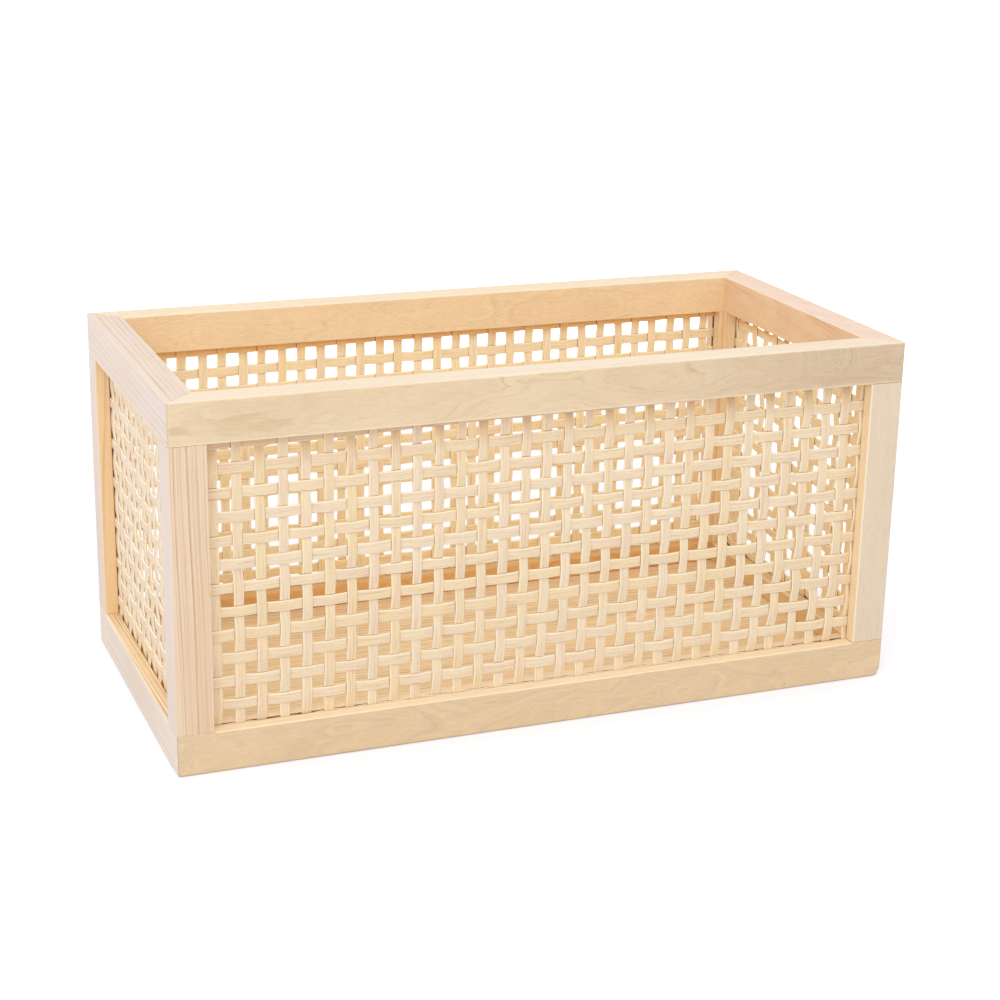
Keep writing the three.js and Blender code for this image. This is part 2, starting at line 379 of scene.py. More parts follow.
# Woods: cream is the pale flat-sawn stock of the front rails, with fine wavy lines; plain the same
# almost without figure; rosy the quarter-sawn stock of the left side, with close parallel lines;
# striped a bolder one of it; peach the right top rail's; honey the back's; board the floor's
cream = {
    "early": (230, 207, 171), "late": (182, 132, 82), "tint": (226, 197, 156), "cloud": 0.5,
    "spacing": 1.0, "lateStart": 0.62, "lateFrom": 0.92, "contrast": 0.3, "yearSpread": 2.0,
    "slowScale": (0.016, 0.035, 0.035), "slowBend": 14,
    "quickScale": (0.06, 0.14, 0.14), "quickBend": 1.6,
    "breakScale": (0.04, 0.12, 0.12), "breaks": 0.85, "yearChange": 0.6,
    "streaks": 0.36, "streakScale": 1.5, "seamShare": 0.3,
    "pores": 0.17, "poreScale": (0.11, 1.5, 1.7), "flecks": 0.18, "darkEnd": 0, "arrisHighlightShare": 0.75,
    "grooveShadeTone": (160, 106, 58),
    "warmLightTone": (262, 250, 226), "warmLines": 0, "rimLightTone": (266, 275, 294), "rimLines": 0,
    "swellHeight": 0,
}
plain = {
    **cream, "early": (229, 211, 183), "tint": (226, 204, 174), "contrast": 0.08, "pores": 0.1,
    "streaks": 0.12,
}
rosy = {
    **cream, "early": (237, 222, 209), "late": (190, 142, 112), "tint": (234, 210, 188),
    "lateStart": 0.2, "lateFrom": 0.8, "contrast": 0.5, "yearSpread": 1.6,
    "slowScale": (0.006, 0.03, 0.03), "slowBend": 2, "quickScale": (0.02, 0.2, 0.2), "quickBend": 0.35,
    "breaks": 0.3, "yearChange": 0.7, "pores": 0.08, "flecks": 0.08, "rimLightTone": (256, 256, 254),
    "streaks": 0.16, "rimLines": 0.3,
}
striped = {
    **rosy, "early": (235, 210, 180), "late": (184, 126, 70), "tint": (228, 192, 154),
    "spacing": 1.4, "contrast": 0.9, "lateStart": 0.35, "lateFrom": 0.94, "slowBend": 4,
    "quickScale": (0.03, 0.2, 0.2), "quickBend": 1.0, "yearSpread": 1.4, "yearChange": 0.95,
    "streaks": 0.26, "streakScale": 2.6,
}
peach = {
    **cream, "early": (240, 206, 176), "late": (190, 122, 78), "tint": (238, 198, 162),
    "contrast": 0.7, "lateStart": 0.3, "slowBend": 3, "quickBend": 0.8,
    "yearSpread": 1.0, "warmLightTone": (258, 260, 252), "rimLightTone": (256, 264, 278), "rimLines": -0.8,
    "streaks": 0.24, "pores": 0.1,
}
honey = {
    **cream, "early": (242, 218, 182), "late": (196, 136, 78), "tint": (240, 208, 166),
    "warmLightTone": (257, 252, 243), "rimLightTone": (258, 262, 270),
}
board = {
    **cream, "early": (254, 232, 192), "late": (190, 132, 82), "tint": (250, 219, 171),
    "spacing": 3.0, "contrast": 0.75, "slowScale": (0.006, 0.03, 0.03), "slowBend": 6,
    "lateStart": 0.25, "breaks": 0.4, "pores": 0.3, "yearSpread": 1.2, "streaks": 0.4,
    "streakScale": 0.7,
}

# One log for each member: its wood, where the pith lies from the member's centre across the
# grain, and how it tilts, in millimetres and degrees, and what else it has of its own. The noise
# of each log starts a fixed way further along the grain, so that no two have the same figure.
logSpacing = 400.0
logs = {
    "front_top_rail": {
        "wood": cream, "pith": (60, -4), "tilt": (0.6, 0.4), "darkEnd": 1,
        "swellHeight": 4.5, "swellAt": 127, "swellSize": 20, "contrast": 0.34, "slowBend": 9,
        "slowScale": (0.011, 0.035, 0.035), "rimLightTone": (270, 279, 301)
    },
    "front_bottom_rail": {
        "wood": cream, "pith": (64, 6), "tilt": (-0.6, 0.5), "early": (229, 201, 161),
        "warmLightTone": (282, 293, 308), "arrisHighlightShare": 0.1, "seamShare": 0.7
    },
    "front_left_stile": {"wood": striped, "pith": (-4, 67), "tilt": (0.5, 0.4), "seamShare": 0.5},
    "front_right_stile": {
        "wood": plain, "pith": (70, 30), "tilt": (0.5, 0.8), "warmLightTone": (280, 273, 257),
        "seamShare": 0.9
    },
    "right_top_rail": {"wood": peach, "pith": (10, 60), "tilt": (6.0, 0.8)},
    "right_bottom_rail": {"wood": cream, "pith": (54, -10), "tilt": (1.4, -2)},
    "right_front_stile": {"wood": plain, "pith": (26, 46), "tilt": (1, 1)},
    "right_back_stile": {"wood": honey, "pith": (20, -40), "tilt": (1, -1), "arrisHighlightShare": 0.1},
    "back_top_rail": {
        "wood": honey, "pith": (-60, 8), "tilt": (0.5, 0.6), "contrast": 0.14, "slowBend": 9,
        "streaks": 0.28, "flecks": 0.3, "cloud": 0.35
    },
    "back_bottom_rail": {
        "wood": honey, "pith": (-62, -8), "tilt": (-0.5, 0.6), "warmLightTone": (248, 222, 180),
        "arrisHighlightShare": 0
    },
    "back_right_stile": {"wood": honey, "pith": (-20, 44), "tilt": (1, 1), "arrisHighlightShare": 0.1},
    "back_left_stile": {"wood": honey, "pith": (-26, -40), "tilt": (-1, 1)},
    "left_top_rail": {"wood": rosy, "pith": (68, -62), "tilt": (0.3, 0.2)},
    "left_bottom_rail": {
        "wood": rosy, "pith": (64, 60), "tilt": (0.3, -0.3), "early": (242, 229, 212),
        "late": (184, 132, 84), "contrast": 0.3, "warmLightTone": (272, 264, 240), "warmLines": 3.5,
        "spacing": 0.7, "grooveShadeTone": (250, 206, 118)
    },
    "left_back_stile": {
        "wood": rosy, "pith": (70, 8), "tilt": (0.3, 0.5), "contrast": 0.3, "arrisHighlightShare": 0.3,
        "warmLightTone": (264, 246, 203), "warmLines": 0.3, "grooveShadeTone": (205, 130, 62)
    },
    "left_front_stile": {"wood": rosy, "pith": (76, -8), "tilt": (0.5, 0.3), "contrast": 0.15},
    "floor_board": {"wood": board, "pith": (95, 14), "tilt": (0.6, 0.5)},
}


# The material of one member, on the log that it was cut from
def memberMaterial(name, grain):
    lowCorner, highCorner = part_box(name)
    log = dict(logs[name])
    wood = log.pop("wood")
    log = {**wood, **log, "grain": grain, "start": logSpacing * list(logs).index(name)}
    return woodMaterial(name, (lowCorner + highCorner) / 2, log)


# The frame members, in millimetres. The marks' reaches say how near a point lies to its edge or
# face, and the last two how strong the painted highlight just above a top rail's small lower
# outer arris and the painted contact shade along a bottom rail's foot are.

woodShape = {
    "arris": 0.8, "lowerArris": 0.4, "jointArris": 0.2, "cornerRadius": 1.5,
    "footRadii": (1.6, 4.4, 2.8, 2.2), "footDepth": (6, 13), "facePoints": (1.2, 2.0, 3.0, 4.0, 4.8),
    "footRings": (13.5, 11, 9, 7.5, 6.2, 5.2, 4.4, 3.6, 2.9, 2.2, 1.5),
    "jointGap": 0.015, "jointBevel": 0.06, "seamReach": 0.25,
    "grooveWidth": 1.5, "grooveDepth": 4.5, "grooveLip": 0.45, "grooveMouth": 0.4,
    "floorPlay": (0.5, 0.3), "arrisChange": (1.2, 0.1), "arrisPad": 0.3,
    "arcSteps": 5, "railArcPoints": 5, "stileArcPoints": 6, "sharpAngle": 36, "mergeReach": 0.002,
    "warmReach": 0.35, "rimReach": 0.2, "grooveReach": (0.01, 0.3), "innerReach": 0.5,
    "footReach": 0.45, "topHighlight": 0.7, "footShade": 0.5,
}


# One size of the members in metres, or a few
def metres(name):
    return np.array(woodShape[name]) * mm


arris = metres("arris")
jointArris = metres("jointArris")
cornerRadius = metres("cornerRadius")
jointGap = metres("jointGap")
jointBevel = metres("jointBevel")
grooveWidth = metres("grooveWidth")
grooveDepth = metres("grooveDepth")


# A closed section from corners of x, y and radius. A softened corner is a parabola tangent to
# both sides, with one more point beyond each end of it, so that the flats stay flat. The third
# column is 1 at the middle of a soft corner and 0 on the flats.
def softSection(corners):
    steps = np.linspace(0, 1, woodShape["arcSteps"] + 1)[:, None]
    middle = np.sin(math.pi * np.concatenate(((0,), steps[:, 0], (0,))))
    pad = metres("arrisPad")
    ring = []
    for k, (x, y, radius) in enumerate(corners):
        here = np.array((x, y))
        if radius == 0:
            ring.append(np.array(((x, y, 0),)))
            continue
        back = np.array(corners[k - 1][:2]) - here
        ahead = np.array(corners[(k + 1) % len(corners)][:2]) - here
        back /= np.linalg.norm(back)
        ahead /= np.linalg.norm(ahead)
        first = here + back * radius
        last = here + ahead * radius
        curve = (1 - steps) ** 2 * first + 2 * steps * (1 - steps) * here + steps ** 2 * last
        soft = np.vstack((first + back * pad, curve, last + ahead * pad))
        ring.append(np.column_stack((soft, middle)))
    return np.concatenate(ring)


# The marks of a section for the wood finish. Warm faces, which take painted bounce light, are
# those at the inner depth and those that border the opening, the rim, which takes painted top
# light, is the top of a top rail, and groove walls, which take painted shade, lie within the
# groove's width and below its mouth.
def sectionMarks(section, toOpening, toRim):
    depth = section[:, 1]
    beside, outside = metres("grooveReach")
    offMiddle = np.abs(depth - frameThickness / 2)
    inGroove = (offMiddle < grooveWidth / 2 + beside) & (toOpening > -outside)
    warmReach = metres("warmReach")
    warm = (depth > frameThickness - warmReach) | (np.abs(toOpening) < warmReach)
    rim = np.broadcast_to(np.abs(toRim) < metres("rimReach"), depth.shape)
    return {"arris": section[:, 2], "warm": warm & ~inGroove & ~rim, "groove": inGroove, "rim": rim}


# A section drawn in by a bevel: each point moves along the mean of its two edges' normals
def shrunk(section, amount):
    edge = (np.roll(section, -1, axis=0) - section)[:, :2]
    normal = np.stack((-edge[:, 1], edge[:, 0]), axis=1)
    normal /= np.linalg.norm(normal, axis=1, keepdims=True)
    mean = normal + np.roll(normal, 1, axis=0)
    mean /= np.linalg.norm(mean, axis=1, keepdims=True)
    return section + np.column_stack((mean * amount, np.zeros(len(section))))


# The lower outer corners of the box are rounded off, those in front as seen from the front and
# those behind as seen from the side. In the square beside a corner, each point keeps its
# direction from the square's inner corner and comes as much nearer as the circle lies inside the
# square there: the longer part of the way over its length. It fades out further in. The radii run
# round the box from the front's left corner.
def roundFeet(points, side):
    turns = side["turns"]
    x, y, z = points[..., 0], points[..., 1], points[..., 2]
    corner = np.where(x < 0, turns, (turns + 1) % 4)
    radius = metres("footRadii")[corner]
    fromEnd = side["length"] / 2 - np.abs(x)
    lengthwise = (corner < 2) == (turns % 2 == 0)
    across = np.where(lengthwise, fromEnd, y)
    further = np.where(lengthwise, y, fromEnd)
    tiny = 1e-9
    out = np.clip(np.stack((radius - across, radius - z), axis=-1), tiny, None)
    scale = out.max(axis=-1) / np.linalg.norm(out, axis=-1)
    full, none = metres("footDepth")
    fade = smooth(np.clip((none - further) / (none - full), 0, 1))
    inward = out * ((1 - scale) * fade)[..., None]
    moveX = np.where(lengthwise, -np.sign(x) * inward[..., 0], 0)
    moveY = np.where(lengthwise, 0, inward[..., 0])
    return points + np.stack((moveX, moveY, inward[..., 1]), axis=-1)


# A member's mesh from its rings, with its sharp edges kept
def memberMesh(name, rings, marks):
    mesh = closedMesh(name, rings[None], marks, mergeReach=metres("mergeReach"))
    mesh.set_sharp_from_angle(angle=math.radians(woodShape["sharpAngle"]))
    return mesh


# The groove for the cane, from its lip nearer the outside to its other lip: depths in the frame,
# and places that go in from a level in one direction. The lips keep the groove's painted shade to
# a thin line beside its mouth.
def grooveProfile(level, inwards):
    half = grooveWidth / 2
    lip = half + metres("grooveLip")
    mouth = metres("grooveMouth")
    depths = frameThickness / 2 + np.array((-lip, -half, -half, -half, half, half, half, lip))
    places = level + inwards * np.array((0, 0, mouth, grooveDepth, grooveDepth, mouth, 0, 0))
    return list(zip(depths, places))


# A rail's section in depth and height, with the groove for the cane on the side that faces it
# and, on a bottom rail, the groove for the floor. towardsCane is the arris beside the cane. The
# lower outer arris is a small one, with a painted highlight just above it on a top rail. More
# points on the outer and bottom faces let a bottom rail's ends be rounded.
def railSection(top, towardsCane):
    face = metres("facePoints")
    groove = grooveProfile(0, 1) if top else grooveProfile(railHeight, -1)[::-1]
    groove = [(depth, height, 0) for depth, height in groove]
    if top:
        section = softSection([
            (0, 0, jointArris), *groove, (frameThickness, 0, towardsCane),
            (frameThickness, railHeight, arris), (0, railHeight, arris), (0, face[0], 0)
        ])
        # A painted highlight on the outer face just above the small lower arris
        section[:2, 2] = woodShape["topHighlight"]
        return section
    playBeside, playAbove = metres("floorPlay")
    floorBed = boxHigh.y - floorHigh.y - playBeside
    floorTop = floorHigh.z + playAbove
    return softSection([
        (0, 0, metres("lowerArris")), *[(depth, 0, 0) for depth in face],
        (frameThickness, 0, arris), (frameThickness, floorLow.z, 0), (floorBed, floorLow.z, 0),
        (floorBed, floorTop, 0), (frameThickness, floorTop, 0),
        (frameThickness, railHeight, towardsCane), *groove, (0, railHeight, towardsCane),
        *[(0, height, 0) for height in face[::-1]]
    ])


# A rail, swept from its left mitre to its right one. Depths under the corner radius turn round
# the box's corner on arcs about one centre; the rest run out to the mitre line.
def railMesh(name, side, top):
    length = side["length"]
    half = length / 2
    full = railSection(top, arris)
    joint = railSection(top, jointArris)
    cap = shrunk(joint, jointBevel)

    # A ring across the rail at one place, no further out than the mitre line
    def flat(section, x):
        depth = section[:, 0]
        return np.stack((np.minimum(x, half - depth), depth, section[:, 1]), axis=1)

    # The retreat from the mitre ends at the inner face, where the two rails meet
    def corner(section, angle, retreat):
        depth = section[:, 0]
        reach = np.clip(cornerRadius - depth, 0, None)
        inside = depth >= cornerRadius
        share = np.where(inside, 1, math.sin(angle) / math.sin(math.pi / 4))
        share = np.where(depth > frameThickness - metres("innerReach"), 0, share)
        x = np.where(inside, half - depth, half - cornerRadius + reach * math.sin(angle))
        y = np.where(inside, depth, cornerRadius - reach * math.cos(angle))
        return np.stack((x - retreat * share, y, section[:, 1]), axis=1)

    steps = np.linspace(0, math.pi / 4, woodShape["railArcPoints"])
    before, after = half - stileWidth - metres("arrisChange")
    rings = [flat(full, before), flat(joint, after)]
    rings += [flat(joint, half - fromEnd) for fromEnd in metres("footRings")]
    rings += [corner(joint, angle, jointGap + jointBevel) for angle in steps]
    rings += [corner(cap, math.pi / 4, jointGap)]
    right = np.stack(rings)
    left = right[::-1] * np.array((-1, 1, 1))
    rings = np.concatenate((left, right))
    rings[..., 2] += basketHeight - railHeight if top else 0
    rings = rings if top else roundFeet(rings, side)
    toOpening = full[:, 1] if top else railHeight - full[:, 1]
    toRim = railHeight - full[:, 1] if top else railHeight
    marks = sectionMarks(full[:, [1, 0, 2]], toOpening, toRim)
    atMitre = np.isin(np.arange(len(rings)), (0, 1, len(rings) - 2, len(rings) - 1))
    atMitre = atMitre[:, None] & (full[:, 0] < cornerRadius)
    # Along the foot of a bottom rail the seam mark is a painted contact shade
    atFoot = (full[:, :2].max(axis=1) < metres("footReach")) & (not top)
    marks["seam"] = np.maximum(atMitre, woodShape["footShade"] * atFoot)
    return memberMesh(name, placeOnSide(rings, side), marks)


# A stile's section in plan, as at the right end of its side
def stileSection(length):
    half = length / 2
    inner = half - stileWidth
    slip = jointGap / math.sqrt(2)
    angles = np.linspace(0, math.pi / 4, woodShape["stileArcPoints"])
    arc = np.stack((np.sin(angles), 1 - np.cos(angles)), axis=1) * cornerRadius
    arc[:, 0] += half - cornerRadius - slip * np.sin(angles) * math.sqrt(2)
    return softSection([
        (inner, 0, arris), *[(x, y, 0) for x, y in arc],
        (half - frameThickness - slip, frameThickness, jointBevel), (inner, frameThickness, arris),
        *[(x, y, 0) for y, x in grooveProfile(inner, 1)[::-1]]
    ])


# A stile, swept from the bottom rail to the top one with a fine bevel at both joints, at the
# right end (+1) or the left end (-1) of its side
def stileMesh(name, side, end):
    full = stileSection(side["length"])
    marks = sectionMarks(full, full[:, 0] - (side["length"] / 2 - stileWidth), railHeight)
    cap = shrunk(full, jointBevel)
    bottom = railHeight + jointGap
    top = basketHeight - railHeight - jointGap
    seam = jointBevel + metres("seamReach")
    levels = (bottom, bottom + jointBevel, bottom + seam, top - seam, top - jointBevel, top)
    marks["seam"] = np.array((1, 1, 0, 0, 1, 1))[:, None]
    sections = (cap, full, full, full, full, cap)
    rings = [np.insert(section[:, :2], 2, z, axis=1) for section, z in zip(sections, levels)]
    rings = np.stack(rings)
    return memberMesh(name, placeOnSide(rings * np.array((end, 1, 1)), side), marks)


for sideName, side in sides.items():
    along = "y" if side["turns"] % 2 else "x"
    for level in ("top", "bottom"):
        node = f"{sideName}_{level}_rail"
        mesh = railMesh(node, side, level == "top")
        addPiece(f"{node}_wood", mesh, memberMaterial(node, along), [node])
    for end, endName in zip((-1, 1), side["ends"]):
        node = f"{sideName}_{endName}_stile"
        mesh = stileMesh(node, side, end)
        addPiece(f"{node}_wood", mesh, memberMaterial(node, "z"), [node])
print("Frame members made")


# The floor board and the dowels keep their CAD shape
dressNode(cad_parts["floor_board"], memberMaterial("floor_board", "x"))
dowelWood = woodMaterial("dowel_wood", (0, 0, 0), {
    **board, "grain": "z", "start": 0, "pith": (0, 60), "tilt": (0, 0)
})
for name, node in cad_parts.items():
    if name.endswith("_dowel"):
        dressNode(node, dowelWood)
print("Floor board and dowels finished")


# The woven cane. Each strip is a flat ribbon that goes over and under those it crosses.

caneLook = {
    "early": (240, 222, 192), "yellow": (240, 216, 172), "rosy": (237, 213, 184),
    "line": (212, 172, 124), "edge": (255, 243, 212), "shade": (176, 120, 66),
    "innerBounceTone": (271, 276, 275), "wallLightTone": (270, 282, 308),
    "railShadowTone": (236, 221, 200), "innerRailShadowTone": (246, 211, 166),
    "lines": 0.6, "lineRange": (0.47, 0.68), "fibreScale": (11.0, 0.5, 1.0),
    "mottle": 0.34, "mottleScale": (30.0, 5.0, 1.0), "noiseSpread": 91.7,
    "cloudRange": (0.45, 0.7), "cloudScale": (0.8, 0.5, 1.0),
    "litEdgeHighlight": 0.75, "dimEdgeHighlight": 0.3, "edgeRange": (0.62, 0.95),
    "shadeShare": 0.6, "shadeReach": 0.35, "fineHeight": 0.4, "roughness": 0.42, "roughSpread": 0.2,
    "bumpStrength": 0.3, "bumpDepth": 0.06, "specular": 0.45,
}


# Cane finish: fibre lines run along each strip by its own UV, U across it to its left or upper
# edge and V along it in centimetres. Each strip has a tone and a place in the noise of its own.
# The edges carry a painted highlight, that at U = 1, on the lit side, the most. A strip takes a
# fine painted shadow line beside one that lies over it: beside is the distance to that one's edge
# in millimetres, made less to its right and below, away from the light, and covered is 1 on the
# face that it covers. Faces that look into the basket (inner) take painted bounce light, the
# strips of one sheet (wallLight) take painted light, their side walls most, and strips under the
# top rail (railShadow) take a painted shadow, those most that pass behind at the top.
def caneMaterial():
    material, tree = newMaterial("peeled_cane")
    uv = addNode(tree, "UVMap", uv_map="UVMap").outputs[0]
    stripTone = markOf(tree, "stripTone")
    across, along = addNode(tree, "SeparateXYZ", {0: uv}).outputs[:2]
    ownPlace = times(tree, stripTone, caneLook["noiseSpread"])
    place = addNode(tree, "CombineXYZ", {0: across, 1: along, 2: ownPlace}).outputs[0]
    fibres = stretchedNoise(tree, place, caneLook["fibreScale"], detail=4, rough=0.7)
    fine = stretchedNoise(tree, place, caneLook["mottleScale"])
    cloud = stretchedNoise(tree, place, caneLook["cloudScale"])
    colour = mixColour(tree, stripTone, caneLook["early"], caneLook["yellow"])
    cloud = eased(tree, cloud, *caneLook["cloudRange"])
    colour = mixColour(tree, cloud, colour, caneLook["rosy"])
    lines = times(tree, eased(tree, fibres, *caneLook["lineRange"]), caneLook["lines"])
    colour = mixColour(tree, lines, colour, caneLook["line"])
    # A painted highlight along both edges of a strip, fullest at U = 1 on the lit side
    offCentre = times(tree, across, 2.0, -1.0)
    lit = eased(tree, offCentre, *caneLook["edgeRange"])
    dim = eased(tree, times(tree, offCentre, -1.0), *caneLook["edgeRange"])
    edge = times(tree, lit, caneLook["litEdgeHighlight"])
    edge = times(tree, dim, caneLook["dimEdgeHighlight"], edge)
    colour = mixColour(tree, edge, colour, caneLook["edge"])
    colour = shaded(tree, colour, fine, caneLook["mottle"])
    # A painted shadow line beside a strip that lies over this one
    shade = eased(tree, markOf(tree, "beside"), caneLook["shadeReach"], 0.0)
    shade = times(tree, shade, markOf(tree, "covered"))
    shade = times(tree, shade, caneLook["shadeShare"])
    colour = mixColour(tree, shade, colour, caneLook["shade"])
    # Painted bounce light on cane faces that look into the basket
    inner = markOf(tree, "inner")
    colour = mixColour(tree, inner, colour, caneLook["innerBounceTone"], "MULTIPLY")
    # Painted light on one sheet's strips, most on their side walls
    colour = mixColour(tree, markOf(tree, "wallLight"), colour, caneLook["wallLightTone"], "MULTIPLY")
    # A painted shadow on strips just under the top rail, warmer on faces that look into the basket
    railShadowTone = mixColour(tree, inner, caneLook["railShadowTone"], caneLook["innerRailShadowTone"])
    colour = mixColour(tree, markOf(tree, "railShadow"), colour, railShadowTone, "MULTIPLY")
    height = times(tree, fine, caneLook["fineHeight"], fibres)
    roughness = times(tree, fibres, caneLook["roughSpread"], caneLook["roughness"])
    finishMaterial(tree, colour, roughness, height, caneLook)
    return material


# The strips and how they lie, in millimetres: pitch, size, depth in the frame and step from
# station to station; a sheet's slow drift, its lean, the bulge of that lean and the topmost
# crosser's rise, as shares of its width and height; the waves along a strip; how its marks fade
weave = {
    "warpPitch": 9.65, "warpWidth": 3.8, "weftPitch": 10.3, "weftWidth": 4.3,
    "thickness": 0.7, "depth": 6.9, "station": 1.25,
    "drift": 0.096, "driftWaves": 5, "driftLength": 90,
    "leanHeight": 0.42, "leanPower": 1.5, "leanShares": (0.35, 0.4, 0.9), "bulge": (0.87, 0.035),
    "riseAcross": (0.14, 0.34), "riseShares": (0.2, 1), "riseStart": 0.7,
    "uprightWobble": 0.05, "crosserWobble": 0.02, "leastWobble": 0.2, "wobbleLength": 57,
    "roll": 0.05, "rollLength": 31, "placeSeed": 13, "stripSeed": 7,
    "widthSpread": 0.05, "widthWave": 0.03, "widthLength": 38,
    "besideScales": (0.7, 1.6), "coverGain": 2, "faceFrom": 0.6, "wallLightOnFace": 0.18,
    "railShadowInside": (1, 6.5), "railShadowFrom": 3, "overTop": 0.3, "crosserRailShadow": 0.6,
}

# Each side's sheet, in millimetres: which strips stand upright, where the first of them lie from
# the left stile and the bottom rail, how far the top rows rise to the right, how far the uprights
# lean to the left near the bottom, how far strips stray from even places, how much wider they
# are, how far uprights and crossers bend out of the middle plane, how strong the painted shadow
# lines beside covered places are, how far the lowest crosser is lowered and the topmost one
# raised to the right, how much painted light its strips take, most on their side walls, how far
# down its outside takes painted shadow under the top rail, and its seed. Most share the even
# values.
even = {"rise": 0, "shade": 1, "lowered": 0, "raised": 0, "wallLight": 0, "railShadowReach": 11.5}
sheets = {
    "front": {
        **even, "upright": "warp", "crosser": "weft", "first": (3.6, -1.3), "rise": 1.6, "lean": 2.0,
        "stray": 0.16, "widen": 1.07, "lifts": (0.38, 0.32), "lowered": 1.0, "raised": 1.5, "seed": 11
    },
    "right": {
        **even, "upright": "weft", "crosser": "warp", "first": (7.1, 2.0), "lean": 0.4,
        "stray": 0.35, "widen": 1.08, "lifts": (0.3, 0.4), "seed": 23
    },
    "back": {
        **even, "upright": "warp", "crosser": "weft", "first": (5.6, -1.6), "rise": -0.8, "lean": 0.4,
        "stray": 0.6, "widen": 1.13, "lifts": (0.35, 0.35), "seed": 37
    },
    "left": {
        **even, "upright": "weft", "crosser": "warp", "first": (2.7, 6.8), "lean": 0.3, "stray": 0.35,
        "widen": 1.06, "lifts": (0.26, 0.4), "shade": 0.1, "wallLight": 1, "railShadowReach": 5, "seed": 41
    },
}


# A side's opening, in millimetres
def openingOf(side):
    return (side["length"] - 2 * stileWidth) / mm, (basketHeight - 2 * railHeight) / mm


# How the whole sheet is out of square: rows that fan upwards to the right, uprights that lean
# near the bottom, and a slow unevenness made of a few waves across the sheet
def sheetShift(across, up, size, sheet):
    rng = np.random.default_rng(sheet["seed"])
    width, height = size
    shift = np.zeros((2, *np.broadcast(across, up).shape))
    for _ in range(weave["driftWaves"]):
        wave = rng.uniform(-1, 1, 2) * 2 * math.pi / weave["driftLength"]
        phase = rng.uniform(0, 2 * math.pi, 2)
        for axis in (0, 1):
            shift[axis] += weave["drift"] * np.sin(wave[0] * across + wave[1] * up + phase[axis])
    low = np.clip(1 - up / (weave["leanHeight"] * height), 0, 1) ** weave["leanPower"]
    right = np.clip(across / width, 0, 1)
    bulgePlace, bulgeWidth = weave["bulge"]
    bulge = np.exp(-((across / width - bulgePlace) / bulgeWidth) ** 2)
    least, toRight, atBulge = weave["leanShares"]
    shift[0] -= sheet["lean"] * low * (least + toRight * right + atBulge * bulge)
    shift[1] += sheet["rise"] * (across / width - 0.5) * up / height
    return shift


# Half the section of a strip, as shares of half its width and thickness: a side wall, a soft
# edge and a faintly domed face, turned about the middle for the other half
def stripSection():
    half = np.array((
        (1, -0.5), (1, 0.5), (0.975, 0.78), (0.92, 0.88), (0.5, 0.97), (0, 1), (-0.5, 0.97),
        (-0.92, 0.88), (-0.975, 0.78)
    ))
    return np.vstack((half, -half)).T


# The middles of one set of strips, in order from the left or from the bottom, and the pitch and
# width of the set. Each strays a little from its even place.
def stripPlaces(sideName, role):
    sheet = sheets[sideName]
    axis = 0 if role == "upright" else 1
    size = openingOf(sides[sideName])[axis]
    pitch = weave[sheet[role] + "Pitch"]
    width = weave[sheet[role] + "Width"] * sheet["widen"]
    first = sheet["first"][axis]
    count = int((size + caneTuck / mm - width / 2 - first) // pitch) + 1
    rng = np.random.default_rng(sheet["seed"] * weave["placeSeed"] + axis)
    places = first + pitch * np.arange(count) + sheet["stray"] * rng.uniform(-1, 1, count)
    places[0] -= sheet["lowered"] if role == "crosser" else 0
    return places, pitch, width


# How much higher than its even place the topmost crosser lies, from left to right
def topRise(across, size, sheet):
    return sheet["raised"] * np.interp(across / size[0], weave["riseAcross"], weave["riseShares"])


# How stations lie among the crossed strips: a cosine that is 1 or -1 at each crossing, and the
# distance from the nearest one's edge, scaled by the side on which it lies
def amongCrossed(station, others, pitch, width, shadowSide):
    beyond = np.concatenate((others[:1] - pitch, others, others[-1:] + pitch))
    turn = np.cos(math.pi * np.interp(station, beyond, np.arange(-1, len(others) + 1)))
    apart = station[..., None] - beyond
    nearest = np.abs(apart).argmin(axis=-1)[..., None]
    apart = np.take_along_axis(apart, nearest, axis=-1)[..., 0]
    scale = np.where(apart * shadowSide > 0, *weave["besideScales"])
    return turn, (np.abs(apart) - width / 2) * scale


# How much painted shadow a strip takes under the top rail, from its distance to the rail: eased on
# the inside, even on the outside
def railShadowShare(distance, inner, sheet, outsideShare):
    start, reach = weave["railShadowInside"]
    inside = smooth(np.clip(1 - (distance - start) / reach, 0, 1))
    outside = np.clip(1 - (distance - weave["railShadowFrom"]) / sheet["railShadowReach"], 0, 1)
    return np.where(inner, inside, outside * outsideShare)


